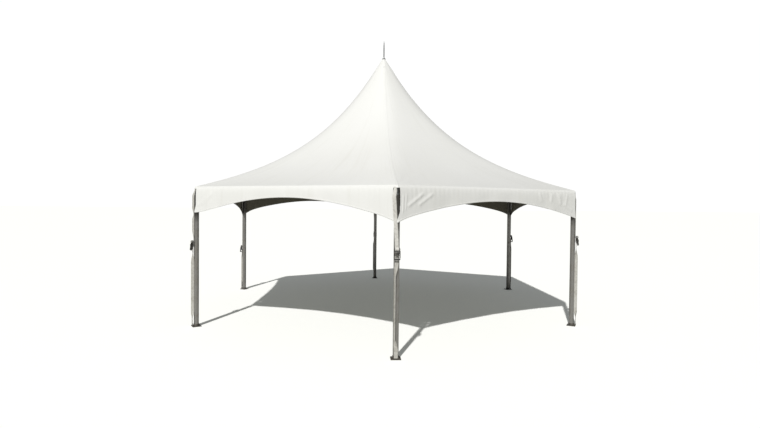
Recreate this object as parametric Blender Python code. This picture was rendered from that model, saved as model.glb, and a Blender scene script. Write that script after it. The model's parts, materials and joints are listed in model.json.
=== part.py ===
"""Hexagonal high-peak frame marquee: an open-sided party tent with six legs, a swept vinyl roof and arched valances.

Metres, +Z up. The origin is on the ground under the peak, and the front corner points along -Y.
Each corner piece is modelled in a corner frame: its origin is on the ground on the leg's axis and +X points outwards.
Each side piece is modelled in a side frame: its origin is the tent's own and +X points out through the side's middle.
"""

import math

import bmesh
import bpy
from mathutils import Matrix, Vector

# Overall size
ACROSS_FLATS = 6.096
EAVE_HEIGHT = 2.22
PEAK_HEIGHT = 4.83
FINIAL_TIP = 5.14
APOTHEM = ACROSS_FLATS / 2
HALF_SIDE_ANGLE = math.radians(30)
LEG_CIRCLE = APOTHEM / math.cos(HALF_SIDE_ANGLE)

# Corners and sides, clockwise from the front corner as seen from above
CORNERS = ("front", "left_front", "left_back", "back", "right_back", "right_front")
SIDES = ("front_left", "left", "back_left", "back_right", "right", "front_right")
FRONT_AZIMUTH = math.radians(-90)
SECTOR = math.radians(60)

# Clearances between solids
GAP = 0.0004
SLIP_FIT = 0.0003

# Tubes
LEG_RADIUS = 0.0381
LEG_WALL = 0.0032
BEAM_RADIUS = 0.0254
BEAM_WALL = 0.0025
BEAM_SEGMENTS = 16
MAST_RADIUS = 0.0254
MAST_WALL = 0.0025
TUBE_SEGMENTS = 20

# Roof fabric
FABRIC = 0.003
ROOF_SWEEP = 1.78
ROOF_ROUNDING = 0.8
ROUNDING_FADE = 1.5
ROOF_SAG = 0.052
SAG_REACH = (0.05, 0.94)
PEAK_HOLE_RADIUS = 0.026
ROOF_ROWS = 11
ROOF_COLUMNS = 6
ROW_CROWDING = 1.6

# Valance
VALANCE_CORNER_DROP = 0.44
VALANCE_CROWN_DROP = 0.195
VALANCE_SLOT = 0.045
VALANCE_COLUMNS = 18

# Corner fitting
LEG_TO_EAVE_COLLAR = 0.105
COLLAR_RADIUS = 0.0254
COLLAR_TOP = 0.004
SEAT_THICKNESS = 0.010
ARM_COLLAR_LENGTH = 0.13
STUB_LENGTH = 0.09
LUG_THICKNESS = 0.008
LUG_DROP = 0.030
LUG_REACH = 0.085
LUG_HEIGHT = 0.036
LUG_HOLE_X = 0.070
LUG_HOLE_RADIUS = 0.007

# Cross cables and the mast's foot
HUB_HEIGHT = 1.985
HUB_RADIUS = 0.085
HUB_THICKNESS = 0.012
CUP_HEIGHT = 0.06
CUP_WALL = 0.005
CABLE_RADIUS = 0.004
EYE_RADIUS = 0.020
EYE_WIRE_RADIUS = 0.0035
FERRULE_RADIUS = 0.008
FERRULE_LENGTH = 0.08
TURNBUCKLE_RADIUS = 0.012
TURNBUCKLE_START = 0.15
TURNBUCKLE_LENGTH = 0.17

# Mast head and finial
HEAD_RADIUS = 0.085
HEAD_SLEEVE_LENGTH = 0.09
HEAD_SLEEVE_WALL = 0.005
HEAD_SEGMENTS = 18
STUD_RADIUS = 0.009
STUD_LENGTH = 0.04
FINIAL_RADIUS = 0.0125
FINIAL_FLANGE_RADIUS = 0.036

# Foot plate
PLATE_SIDE = 0.134
PLATE_THICKNESS = 0.008
SPIGOT_LENGTH = 0.07
KEEPER_X = LEG_RADIUS + 0.0198
KEEPER_Z = 0.025
KEEPER_RADIUS = 0.005
EAR_INNER_Y = 0.0285
EAR_THICKNESS = 0.005

# Webbing and ratchets
WEB_WIDTH = 0.050
WEB_THICKNESS = 0.003
WEB_LAP = 0.09
WEB_TOP_X = COLLAR_RADIUS + 0.0028
WEB_SHOULDER = 0.045
RATCHET_HEIGHTS = {
    "front": 1.41,
    "left_front": 1.35,
    "left_back": 0.98,
    "back": 1.22,
    "right_back": 1.245,
    "right_front": 1.46,
}
AXLE_X = LEG_RADIUS + 0.0263
AXLE_RADIUS = 0.006
SPOOL_RADIUS = 0.0165
FRAME_INNER_Y = 0.0275
FRAME_THICKNESS = 0.003
FRAME_WIDTH = 0.034
FRAME_BELOW = 0.088
FRAME_ABOVE = 0.020
BOLT_BELOW = 0.076
BOLT_X = AXLE_X - 0.0035
BOLT_RADIUS = 0.0055
HANDLE_INNER_Y = 0.0365
HANDLE_THICKNESS = 0.003
HANDLE_WIDTH = 0.020
HANDLE_HOLE_RADIUS = 0.0067
GRIP_X = AXLE_X + 0.020
GRIP_BELOW = 0.128
GRIP_RADIUS = 0.007


# Roof surface

RISE = PEAK_HEIGHT - EAVE_HEIGHT
FABRIC_APOTHEM = APOTHEM + BEAM_RADIUS + GAP + FABRIC
FABRIC_CORNER = FABRIC_APOTHEM / math.cos(HALF_SIDE_ANGLE)
SWEEP_END = math.exp(-ROOF_SWEEP)
FIRST_ROW = PEAK_HOLE_RADIUS / FABRIC_CORNER


def inside_bore(radius, segments):
    """Radius of a round bar that clears the flats of a bore with that many sides."""
    return radius * math.cos(math.pi / segments) - SLIP_FIT


def roof_sag(s):
    """How far the fabric hangs below the plain sweep at share s, most of it in the upper half."""
    share = min(max((s - SAG_REACH[0]) / (SAG_REACH[1] - SAG_REACH[0]), 0), 1)
    return ROOF_SAG * max(math.sin(math.pi * share**0.6), 0) ** 1.3


def roof_height(s):
    """Height of the roof's outer face at share s of the way from the peak to the eave."""
    sweep = (math.exp(-ROOF_SWEEP * s) - SWEEP_END) / (1 - SWEEP_END)
    return EAVE_HEIGHT + RISE * sweep - roof_sag(s)


def fabric_drop(s):
    """Vertical thickness of the fabric at s, where the roof is as steep as the sweep makes it."""
    steepness = RISE * ROOF_SWEEP * math.exp(-ROOF_SWEEP * s) / (1 - SWEEP_END) / FABRIC_CORNER
    return FABRIC * math.hypot(1, steepness)


def roof_radius(angle, s):
    """Distance from the tent's axis at an angle from the side's middle: a hexagon at the eave, rounder at the peak."""
    straight = math.cos(HALF_SIDE_ANGLE) / math.cos(angle)
    roundness = ROOF_ROUNDING * (1 - s) ** ROUNDING_FADE
    return FABRIC_CORNER * s * (straight + (1 - straight) * roundness)


def row_share(row):
    return FIRST_ROW + (1 - FIRST_ROW) * (row / ROOF_ROWS) ** ROW_CROWDING


def lowest_panel_line():
    """Slope, and height over the eave beam, of the roof's underside in its last row of faces, at a side's middle."""
    last = row_share(ROOF_ROWS - 1)
    run = roof_radius(0, 1) - roof_radius(0, last)
    high = roof_height(last) - fabric_drop(last)
    low = EAVE_HEIGHT - fabric_drop(1)
    slope = (high - low) / run
    return slope, low + slope * (FABRIC_APOTHEM - APOTHEM)


UNDERSIDE_SLOPE, UNDERSIDE_OVER_BEAM = lowest_panel_line()
BEAM_HEIGHT = UNDERSIDE_OVER_BEAM - (BEAM_RADIUS + GAP) * math.hypot(1, UNDERSIDE_SLOPE)
LEG_TOP = BEAM_HEIGHT - LEG_TO_EAVE_COLLAR


# Scene helpers


def clear_scene():
    for obj in list(bpy.data.objects):
        bpy.data.objects.remove(obj)


def material(name, colour, roughness, metallic=0.0):
    made = bpy.data.materials.new(name)
    made.use_nodes = True
    shader = made.node_tree.nodes["Principled BSDF"]
    shader.inputs["Base Color"].default_value = (*colour, 1)
    shader.inputs["Roughness"].default_value = roughness
    shader.inputs["Metallic"].default_value = metallic
    made.diffuse_color = (*colour, 1)
    return made


def mesh_from(bm, name):
    """A finished mesh from a bmesh, with its faces pointing out and its round faces smooth."""
    bmesh.ops.remove_doubles(bm, verts=bm.verts, dist=1e-6)
    bmesh.ops.recalc_face_normals(bm, faces=bm.faces)
    mesh = bpy.data.meshes.new(name)
    bm.to_mesh(mesh)
    bm.free()
    mesh.shade_smooth()
    mesh.set_sharp_from_angle(angle=math.radians(35))
    return mesh


def place(name, mesh, finish, at=(0, 0, 0), azimuth=0.0):
    """A node: an object that stands at a point, turned about the vertical."""
    if not mesh.materials:
        mesh.materials.append(finish)
    obj = bpy.data.objects.new(name, mesh)
    obj.location = at
    obj.rotation_euler = (0, 0, azimuth)
    bpy.context.scene.collection.objects.link(obj)
    return obj


def corner_azimuth(index):
    return FRONT_AZIMUTH - SECTOR * index


def side_azimuth(index):
    return corner_azimuth(index) - SECTOR / 2


def corner_point(index, height=0.0):
    azimuth = corner_azimuth(index)
    return Vector((LEG_CIRCLE * math.cos(azimuth), LEG_CIRCLE * math.sin(azimuth), height))


def at_each_corner(stem, mesh, finish, height=0.0):
    for index, corner in enumerate(CORNERS):
        place(f"{stem}_{corner}", mesh, finish, corner_point(index, height), corner_azimuth(index))


def at_each_side(stem, mesh, finish):
    for index, side in enumerate(SIDES):
        place(f"{stem}_{side}", mesh, finish, azimuth=side_azimuth(index))


# Solids


def turned(profile, segments, name="turned"):
    """A closed profile of (radius, height) points, spun about Z."""
    bm = bmesh.new()
    points = [bm.verts.new((radius, 0, height)) for radius, height in profile]
    edges = [bm.edges.new(pair) for pair in zip(points, points[1:])]
    if profile[0][0] > 0 or profile[-1][0] > 0:
        edges.append(bm.edges.new((points[-1], points[0])))
    bmesh.ops.spin(
        bm,
        geom=points + edges,
        cent=(0, 0, 0),
        axis=(0, 0, 1),
        angle=math.tau,
        steps=segments,
        use_merge=True,
        use_duplicate=False,
    )
    return mesh_from(bm, name)


def rod(start, end, radius, segments=12):
    """A solid cylinder between two points."""
    start, end = Vector(start), Vector(end)
    bm = bmesh.new()
    bmesh.ops.create_cone(
        bm,
        cap_ends=True,
        segments=segments,
        radius1=radius,
        radius2=radius,
        depth=(end - start).length,
    )
    turn = (end - start).to_track_quat("Z", "Y").to_matrix().to_4x4()
    bmesh.ops.transform(bm, verts=bm.verts, matrix=Matrix.Translation((start + end) / 2) @ turn)
    return mesh_from(bm, "rod")


def block(low, high):
    """A box between its lowest and highest corners."""
    low, high = Vector(low), Vector(high)
    bm = bmesh.new()
    bmesh.ops.create_cube(bm, size=1)
    bmesh.ops.scale(bm, verts=bm.verts, vec=high - low)
    bmesh.ops.translate(bm, verts=bm.verts, vec=(low + high) / 2)
    return mesh_from(bm, "block")


def plate(outline, low_y, high_y):
    """A flat plate with an outline of (x, z) points, between two values of Y."""
    bm = bmesh.new()
    face = bm.faces.new([bm.verts.new((x, low_y, z)) for x, z in outline])
    grown = bmesh.ops.extrude_face_region(bm, geom=[face])["geom"]
    moved = [item for item in grown if isinstance(item, bmesh.types.BMVert)]
    bmesh.ops.translate(bm, verts=moved, vec=(0, high_y - low_y, 0))
    return mesh_from(bm, "plate")


def stadium(start, end, radius, steps=4):
    """Outline of a strap-shaped plate with round ends, as (x, z) points."""
    start, end = Vector(start), Vector(end)
    heading = math.atan2(end.y - start.y, end.x - start.x)
    outline = []
    for centre, turn in ((end, -math.pi / 2), (start, math.pi / 2)):
        for step in range(steps + 1):
            angle = heading + turn + math.pi * step / steps
            outline.append((centre.x + radius * math.cos(angle), centre.y + radius * math.sin(angle)))
    return outline


def cut_and_joined(base, added=(), removed=(), name="joined"):
    """The mesh of base with other meshes joined to it and others cut from it."""
    helpers = []

    def helper(mesh):
        obj = bpy.data.objects.new("helper", mesh)
        obj.hide_render = True
        obj.display_type = "WIRE"
        bpy.context.scene.collection.objects.link(obj)
        helpers.append(obj)
        return obj

    body = helper(base)
    for meshes, operation in ((added, "UNION"), (removed, "DIFFERENCE")):
        for mesh in meshes:
            step = body.modifiers.new(operation.lower(), "BOOLEAN")
            step.operation = operation
            step.object = helper(mesh)
    bpy.context.view_layer.update()
    graph = bpy.context.evaluated_depsgraph_get()
    made = bpy.data.meshes.new_from_object(body.evaluated_get(graph))
    made.name = name
    made.materials.clear()
    for obj in helpers:
        bpy.data.objects.remove(obj)
    return made


def turned_mesh(mesh, matrix):
    """A copy of a mesh, moved by a matrix."""
    copy = mesh.copy()
    copy.transform(matrix)
    return copy


# Legs and foot plates


def leg_mesh():
    inner = LEG_RADIUS - LEG_WALL
    low = PLATE_THICKNESS + SLIP_FIT
    high = LEG_TOP
    return turned(
        [(LEG_RADIUS, low), (LEG_RADIUS, high), (inner, high), (inner, low)], TUBE_SEGMENTS, "leg"
    )


def foot_plate_mesh():
    half = PLATE_SIDE / 2
    slab = block((-half, -half, 0), (half, half, PLATE_THICKNESS))
    spigot_radius = inside_bore(LEG_RADIUS - LEG_WALL, TUBE_SEGMENTS)
    sink = PLATE_THICKNESS / 2
    added = [rod((0, 0, sink), (0, 0, PLATE_THICKNESS + SPIGOT_LENGTH), spigot_radius)]
    ear_outline = [
        (KEEPER_X - 0.008, sink),
        (half - 0.0005, sink),
        (half - 0.0005, KEEPER_Z + 0.003),
        (half - 0.004, KEEPER_Z + 0.008),
        (KEEPER_X - 0.004, KEEPER_Z + 0.008),
        (KEEPER_X - 0.008, KEEPER_Z + 0.003),
    ]
    for side in (-1, 1):
        near, far = sorted((side * EAR_INNER_Y, side * (EAR_INNER_Y + EAR_THICKNESS)))
        added.append(plate(ear_outline, near, far))
    reach = EAR_INNER_Y + EAR_THICKNESS / 2
    added.append(rod((KEEPER_X, -reach, KEEPER_Z), (KEEPER_X, reach, KEEPER_Z), KEEPER_RADIUS, 10))
    return cut_and_joined(slab, added, name="foot_plate")


# Corner fittings and eave beams


def corner_fitting_mesh():
    """A three-way fitting: a post on the leg, two arms along the eaves and a lug for the cross cable."""
    seat_low = LEG_TOP + SLIP_FIT
    seat_middle = seat_low + SEAT_THICKNESS / 2
    post = rod((0, 0, seat_middle), (0, 0, BEAM_HEIGHT + COLLAR_TOP), COLLAR_RADIUS, 14)
    leg_stub_radius = inside_bore(LEG_RADIUS - LEG_WALL, TUBE_SEGMENTS)
    added = [
        rod((0, 0, seat_low), (0, 0, seat_low + SEAT_THICKNESS), LEG_RADIUS, TUBE_SEGMENTS),
        rod((0, 0, LEG_TOP - STUB_LENGTH), (0, 0, seat_middle), leg_stub_radius, 10),
    ]
    beam_stub_radius = inside_bore(BEAM_RADIUS - BEAM_WALL, BEAM_SEGMENTS)
    for side in (-1, 1):
        heading = Vector((math.cos(math.radians(120)), side * math.sin(math.radians(120)), 0))
        centre = Vector((0, 0, BEAM_HEIGHT))
        added.append(rod(centre, centre + heading * ARM_COLLAR_LENGTH, BEAM_RADIUS, 12))
        added.append(rod(centre, centre + heading * (ARM_COLLAR_LENGTH + STUB_LENGTH), beam_stub_radius, 10))
    lug_centre = BEAM_HEIGHT - LUG_DROP
    half_lug = LUG_HEIGHT / 2
    outline = [
        (-0.015, lug_centre - half_lug),
        (-0.015, lug_centre + half_lug),
        (-LUG_REACH + 0.010, lug_centre + half_lug),
        (-LUG_REACH, lug_centre + half_lug - 0.010),
        (-LUG_REACH, lug_centre - half_lug + 0.010),
        (-LUG_REACH + 0.010, lug_centre - half_lug),
    ]
    added.append(plate(outline, -LUG_THICKNESS / 2, LUG_THICKNESS / 2))
    hole = rod((-LUG_HOLE_X, -0.02, lug_centre), (-LUG_HOLE_X, 0.02, lug_centre), LUG_HOLE_RADIUS, 10)
    return cut_and_joined(post, added, [hole], "corner_fitting")


def eave_beam_mesh():
    """A tube along Y at the side's middle, between the arms of its two fittings."""
    half = LEG_CIRCLE / 2 - ARM_COLLAR_LENGTH - SLIP_FIT
    inner = BEAM_RADIUS - BEAM_WALL
    profile = [(BEAM_RADIUS, -half), (BEAM_RADIUS, half), (inner, half), (inner, -half)]
    tube = turned(profile, BEAM_SEGMENTS, "eave_beam")
    tube.transform(Matrix.Translation((APOTHEM, 0, BEAM_HEIGHT)) @ Matrix.Rotation(math.pi / 2, 4, "X"))
    return tube


# Fabric


def roof_panel_mesh():
    """One gore of the roof, from hip to hip and from the peak's hole to the eave."""
    bm = bmesh.new()
    bmesh.ops.create_grid(bm, x_segments=ROOF_ROWS, y_segments=ROOF_COLUMNS, size=1)
    outer = list(bm.verts)
    shares = {}
    for vert in outer:
        row = round((vert.co.x + 1) / 2 * ROOF_ROWS)
        share = row_share(row)
        angle = vert.co.y * HALF_SIDE_ANGLE
        radius = roof_radius(angle, share)
        point = Vector((radius * math.cos(angle), radius * math.sin(angle), roof_height(share)))
        if abs(vert.co.y) > 0.999:
            side = math.copysign(1, vert.co.y)
            inward = Vector((math.sin(HALF_SIDE_ANGLE), -side * math.cos(HALF_SIDE_ANGLE), 0))
            point += inward * GAP / 2
        vert.co = point
        vert.index = len(shares)
        shares[vert] = share
    drops = {tuple(vert.co): fabric_drop(share) for vert, share in shares.items()}
    grown = bmesh.ops.extrude_face_region(bm, geom=list(bm.faces), use_keep_orig=True)["geom"]
    for vert in (item for item in grown if isinstance(item, bmesh.types.BMVert)):
        vert.co.z -= drops[tuple(vert.co)]
    return mesh_from(bm, "roof_panel")


def valance_mesh():
    """The skirt below one side's eave: straight at the top, arched below, open at the corners."""
    half_side = FABRIC_APOTHEM * math.tan(HALF_SIDE_ANGLE)
    half = half_side - VALANCE_SLOT
    top = EAVE_HEIGHT - fabric_drop(1) - GAP
    rise = VALANCE_CORNER_DROP - VALANCE_CROWN_DROP
    bm = bmesh.new()
    bmesh.ops.create_grid(bm, x_segments=VALANCE_COLUMNS, y_segments=1, size=1)
    for vert in bm.verts:
        y = vert.co.x * half
        share = (y + half_side) / (2 * half_side)
        bottom = EAVE_HEIGHT - VALANCE_CORNER_DROP + rise * math.sin(math.pi * share)
        vert.co = Vector((FABRIC_APOTHEM, y, top if vert.co.y > 0 else bottom))
    grown = bmesh.ops.extrude_face_region(bm, geom=list(bm.faces), use_keep_orig=True)["geom"]
    moved = [item for item in grown if isinstance(item, bmesh.types.BMVert)]
    bmesh.ops.translate(bm, verts=moved, vec=(-FABRIC, 0, 0))
    return mesh_from(bm, "valance")


# Cross cables with the mast's foot


def cable_pieces(azimuth):
    """One cable from its eye in the corner's lug to the hub, as meshes in the tent's frame."""
    eye_height = BEAM_HEIGHT - LUG_DROP
    eye_centre = LEG_CIRCLE - LUG_HOLE_X - 0.0019 - EYE_RADIUS
    outer_end = Vector((eye_centre - EYE_RADIUS + EYE_WIRE_RADIUS / 2, 0, eye_height))
    hub_end = Vector((HUB_RADIUS - 0.01, 0, HUB_HEIGHT))
    inward = (hub_end - outer_end).normalized()
    bm = bmesh.new()
    ring = bmesh.ops.create_circle(bm, segments=5, radius=EYE_WIRE_RADIUS)["verts"]
    bmesh.ops.rotate(bm, verts=ring, cent=(0, 0, 0), matrix=Matrix.Rotation(math.pi / 2, 3, "X"))
    bmesh.ops.translate(bm, verts=ring, vec=(EYE_RADIUS, 0, 0))
    bmesh.ops.spin(
        bm,
        geom=list(bm.verts) + list(bm.edges),
        cent=(0, 0, 0),
        axis=(0, 0, 1),
        angle=math.tau,
        steps=12,
        use_merge=True,
        use_duplicate=False,
    )
    bmesh.ops.translate(bm, verts=bm.verts, vec=(eye_centre, 0, eye_height))
    eye = mesh_from(bm, "eye")
    run = (hub_end - outer_end).length
    buckle_far = outer_end + inward * (run - TURNBUCKLE_START - TURNBUCKLE_LENGTH)
    buckle_near = outer_end + inward * (run - TURNBUCKLE_START)
    meshes = [
        eye,
        rod(outer_end, outer_end + inward * FERRULE_LENGTH, FERRULE_RADIUS, 6),
        rod(outer_end + inward * 0.01, hub_end, CABLE_RADIUS, 6),
        rod(buckle_far, buckle_near, TURNBUCKLE_RADIUS, 6),
    ]
    spin = Matrix.Rotation(azimuth, 4, "Z")
    return [turned_mesh(mesh, spin) for mesh in meshes]


def cross_cables_mesh():
    """Six cables that meet at a round hub, with a cup on it for the mast."""
    low, high = HUB_HEIGHT - HUB_THICKNESS / 2, HUB_HEIGHT + HUB_THICKNESS / 2
    cup_inner = MAST_RADIUS + SLIP_FIT
    cup_outer = cup_inner + CUP_WALL
    hub = turned(
        [
            (0, low),
            (HUB_RADIUS, low),
            (HUB_RADIUS, high),
            (cup_outer, high),
            (cup_outer, high + CUP_HEIGHT),
            (cup_inner, high + CUP_HEIGHT),
            (cup_inner, high),
            (0, high),
        ],
        TUBE_SEGMENTS,
        "hub",
    )
    cables = []
    for index in range(len(CORNERS)):
        cables += cable_pieces(corner_azimuth(index))
    return cut_and_joined(hub, cables, name="cross_cables")


# Mast, mast head and finial

HEAD_TOP = roof_height(FIRST_ROW) - fabric_drop(FIRST_ROW)
HEAD_TOP_RADIUS = roof_radius(0, FIRST_ROW) - 0.001


def head_rim_height():
    """Height of the roof's underside, in its first row of faces, at the head's rim."""
    next_share = row_share(1)
    next_radius = roof_radius(0, next_share)
    next_height = roof_height(next_share) - fabric_drop(next_share)
    share = (HEAD_RADIUS + 0.001 - roof_radius(0, FIRST_ROW)) / (next_radius - roof_radius(0, FIRST_ROW))
    return HEAD_TOP + (next_height - HEAD_TOP) * share


HEAD_RIM_HEIGHT = head_rim_height()
MAST_TOP = HEAD_RIM_HEIGHT - 0.03


def mast_mesh():
    inner = MAST_RADIUS - MAST_WALL
    low = HUB_HEIGHT + HUB_THICKNESS / 2 + SLIP_FIT
    return turned(
        [(MAST_RADIUS, low), (MAST_RADIUS, MAST_TOP), (inner, MAST_TOP), (inner, low)], TUBE_SEGMENTS, "mast"
    )


def mast_head_mesh():
    """A turned cap on the mast: a sleeve below, and a cone that bears the fabric."""
    sleeve_inner = (MAST_RADIUS + SLIP_FIT) / math.cos(math.pi / HEAD_SEGMENTS)
    sleeve_outer = sleeve_inner + HEAD_SLEEVE_WALL
    sleeve_low = MAST_TOP - HEAD_SLEEVE_LENGTH
    bore = STUD_RADIUS + SLIP_FIT
    return turned(
        [
            (0, MAST_TOP + SLIP_FIT),
            (sleeve_inner, MAST_TOP + SLIP_FIT),
            (sleeve_inner, sleeve_low),
            (sleeve_outer, sleeve_low),
            (sleeve_outer, HEAD_RIM_HEIGHT - 0.035),
            (HEAD_RADIUS, HEAD_RIM_HEIGHT - 0.012),
            (HEAD_RADIUS, HEAD_RIM_HEIGHT),
            (HEAD_TOP_RADIUS, HEAD_TOP),
            (bore, HEAD_TOP),
            (bore, HEAD_TOP - STUD_LENGTH),
            (0, HEAD_TOP - STUD_LENGTH),
        ],
        HEAD_SEGMENTS,
        "mast_head",
    )


def finial_mesh():
    """A slim spike on a flange that clamps the fabric, with a stud down into the mast head."""
    flange_low = roof_height(FIRST_ROW) + GAP
    neck = HEAD_TOP + SLIP_FIT
    return turned(
        [
            (0, HEAD_TOP - STUD_LENGTH + SLIP_FIT),
            (STUD_RADIUS, HEAD_TOP - STUD_LENGTH + SLIP_FIT),
            (STUD_RADIUS, neck),
            (FINIAL_RADIUS + 0.006, neck),
            (FINIAL_RADIUS + 0.006, flange_low),
            (FINIAL_FLANGE_RADIUS, flange_low),
            (FINIAL_FLANGE_RADIUS, flange_low + 0.005),
            (FINIAL_RADIUS + 0.006, flange_low + 0.018),
            (FINIAL_RADIUS, flange_low + 0.035),
            (FINIAL_RADIUS, FINIAL_TIP - 0.14),
            (FINIAL_RADIUS * 0.7, FINIAL_TIP - 0.04),
            (FINIAL_RADIUS * 0.35, FINIAL_TIP - 0.006),
            (0, FINIAL_TIP),
        ],
        12,
        "finial",
    )


# Corner straps, their ratchets and the ratchets' handles


def ribbon(path, thickness):
    """Outline of a strip that follows a path of (x, z) points, as (x, z) points round its cross-section."""
    points = [Vector(point) for point in path]
    sides = ([], [])
    for index, point in enumerate(points):
        before = points[max(index - 1, 0)]
        after = points[min(index + 1, len(points) - 1)]
        first = (point - before).normalized() if index else (after - point).normalized()
        second = (after - point).normalized() if index < len(points) - 1 else first
        bisector = (first + second).normalized()
        normal = Vector((bisector.y, -bisector.x))
        reach = thickness / 2 / max(normal.dot(Vector((first.y, -first.x))), 0.5)
        sides[0].append(tuple(point + normal * reach))
        sides[1].append(tuple(point - normal * reach))
    return sides[0] + sides[1][::-1]


def strap_mesh(ratchet_height):
    """Webbing from the roof's corner, behind the ratchet's spool and bolt, and round the foot plate's keeper bar."""
    leg_face = LEG_RADIUS + GAP + WEB_THICKNESS / 2
    bend_height = EAVE_HEIGHT - VALANCE_CORNER_DROP - 0.10
    path = [
        (WEB_TOP_X, EAVE_HEIGHT - fabric_drop(1) - 0.004),
        (WEB_TOP_X, LEG_TOP + WEB_SHOULDER),
        (leg_face, LEG_TOP + SEAT_THICKNESS + 0.003),
        (leg_face, bend_height),
        (AXLE_X - SPOOL_RADIUS - GAP - WEB_THICKNESS / 2, ratchet_height),
        (BOLT_X - BOLT_RADIUS - GAP - WEB_THICKNESS / 2, ratchet_height - BOLT_BELOW),
    ]
    loop_radius = (KEEPER_RADIUS + GAP) / math.cos(math.pi / 12) + WEB_THICKNESS / 2
    for step in range(7):
        angle = -math.pi * step / 6
        path.append((KEEPER_X + loop_radius * math.cos(angle), KEEPER_Z + loop_radius * math.sin(angle)))
    path.append((KEEPER_X - loop_radius, KEEPER_Z + WEB_LAP))
    return plate(ribbon(path, WEB_THICKNESS), -WEB_WIDTH / 2, WEB_WIDTH / 2)


def ratchet_mesh():
    """Two side plates joined by a spool on its axle and by a bolt. The origin is on the axle."""
    frame_outline = [
        (-FRAME_WIDTH / 2, 0.012 - FRAME_BELOW),
        (0.006 - FRAME_WIDTH / 2, -FRAME_BELOW),
        (FRAME_WIDTH / 2 - 0.010, -FRAME_BELOW),
        (FRAME_WIDTH / 2, 0.030 - FRAME_BELOW),
        (FRAME_WIDTH / 2, FRAME_ABOVE - 0.010),
        (FRAME_WIDTH / 2 - 0.010, FRAME_ABOVE),
        (0.010 - FRAME_WIDTH / 2, FRAME_ABOVE),
        (-FRAME_WIDTH / 2, FRAME_ABOVE - 0.010),
    ]
    outer_y = FRAME_INNER_Y + FRAME_THICKNESS
    axle_reach = HANDLE_INNER_Y + HANDLE_THICKNESS + 0.003
    bolt_reach = outer_y + 0.003
    bolt_x = BOLT_X - AXLE_X
    spool_reach = FRAME_INNER_Y - 0.002
    added = [
        rod((0, -spool_reach, 0), (0, spool_reach, 0), SPOOL_RADIUS, 12),
        plate(frame_outline, FRAME_INNER_Y, outer_y),
        plate(frame_outline, -outer_y, -FRAME_INNER_Y),
        rod((bolt_x, -bolt_reach, -BOLT_BELOW), (bolt_x, bolt_reach, -BOLT_BELOW), BOLT_RADIUS, 8),
    ]
    axle = rod((0, -axle_reach, 0), (0, axle_reach, 0), AXLE_RADIUS, 10)
    return cut_and_joined(axle, added, name="ratchet")


def ratchet_handle_mesh():
    """Two arms on the ratchet's axle, joined by a grip bar. The origin is on the axle."""
    reach_x = GRIP_X - AXLE_X
    arm = stadium((0, 0), (reach_x, -GRIP_BELOW), HANDLE_WIDTH / 2)
    low, high = HANDLE_INNER_Y, HANDLE_INNER_Y + HANDLE_THICKNESS
    other_arm = plate(arm, -high, -low)
    grip_end = high - HANDLE_THICKNESS / 2
    added = [
        other_arm,
        rod((reach_x, -grip_end, -GRIP_BELOW), (reach_x, grip_end, -GRIP_BELOW), GRIP_RADIUS, 8),
    ]
    bore = rod((0, -high - 0.01, 0), (0, high + 0.01, 0), HANDLE_HOLE_RADIUS, 10)
    return cut_and_joined(plate(arm, low, high), added, [bore], "ratchet_handle")


def main():
    clear_scene()
    vinyl = material("white_vinyl", (0.90, 0.905, 0.885), 0.55)
    aluminium = material("mill_aluminium", (0.58, 0.58, 0.56), 0.38, 1.0)
    galvanised = material("galvanised_steel", (0.52, 0.53, 0.53), 0.5, 1.0)
    dark_steel = material("dark_painted_steel", (0.10, 0.095, 0.085), 0.55)
    webbing = material("pale_webbing", (0.80, 0.79, 0.74), 0.85)
    ratchet_steel = material("dark_ratchet_steel", (0.16, 0.155, 0.15), 0.45, 0.8)
    wire = material("steel_wire_rope", (0.45, 0.45, 0.45), 0.45, 1.0)

    at_each_corner("leg", leg_mesh(), aluminium)
    at_each_corner("foot_plate", foot_plate_mesh(), dark_steel)
    at_each_corner("corner_fitting", corner_fitting_mesh(), galvanised)
    at_each_side("eave_beam", eave_beam_mesh(), aluminium)
    at_each_side("roof_panel", roof_panel_mesh(), vinyl)
    at_each_side("valance", valance_mesh(), vinyl)

    place("cross_cables", cross_cables_mesh(), wire)
    place("mast", mast_mesh(), aluminium)
    place("mast_head", mast_head_mesh(), galvanised)
    place("finial", finial_mesh(), galvanised)

    ratchet = ratchet_mesh()
    handle = ratchet_handle_mesh()
    for index, corner in enumerate(CORNERS):
        azimuth = corner_azimuth(index)
        height = RATCHET_HEIGHTS[corner]
        place(f"corner_strap_{corner}", strap_mesh(height), webbing, corner_point(index), azimuth)
        axle = corner_point(index, height) + Matrix.Rotation(azimuth, 3, "Z") @ Vector((AXLE_X, 0, 0))
        place(f"ratchet_{corner}", ratchet, ratchet_steel, axle, azimuth)
        place(f"ratchet_handle_{corner}", handle, ratchet_steel, axle, azimuth)


main()
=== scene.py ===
"""A hexagonal high-peak frame marquee, dressed over its solid model with fabric, webbing and hardware.

Metres, +Z up. A corner piece is made in its corner's frame, with its origin on the ground on the leg's axis
and +X outwards. A side piece is made in its side's frame, with the tent's origin and +X out through the
side's middle.
"""

import json
import math

import bmesh
import bpy
from mathutils import Matrix, Vector, noise


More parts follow.
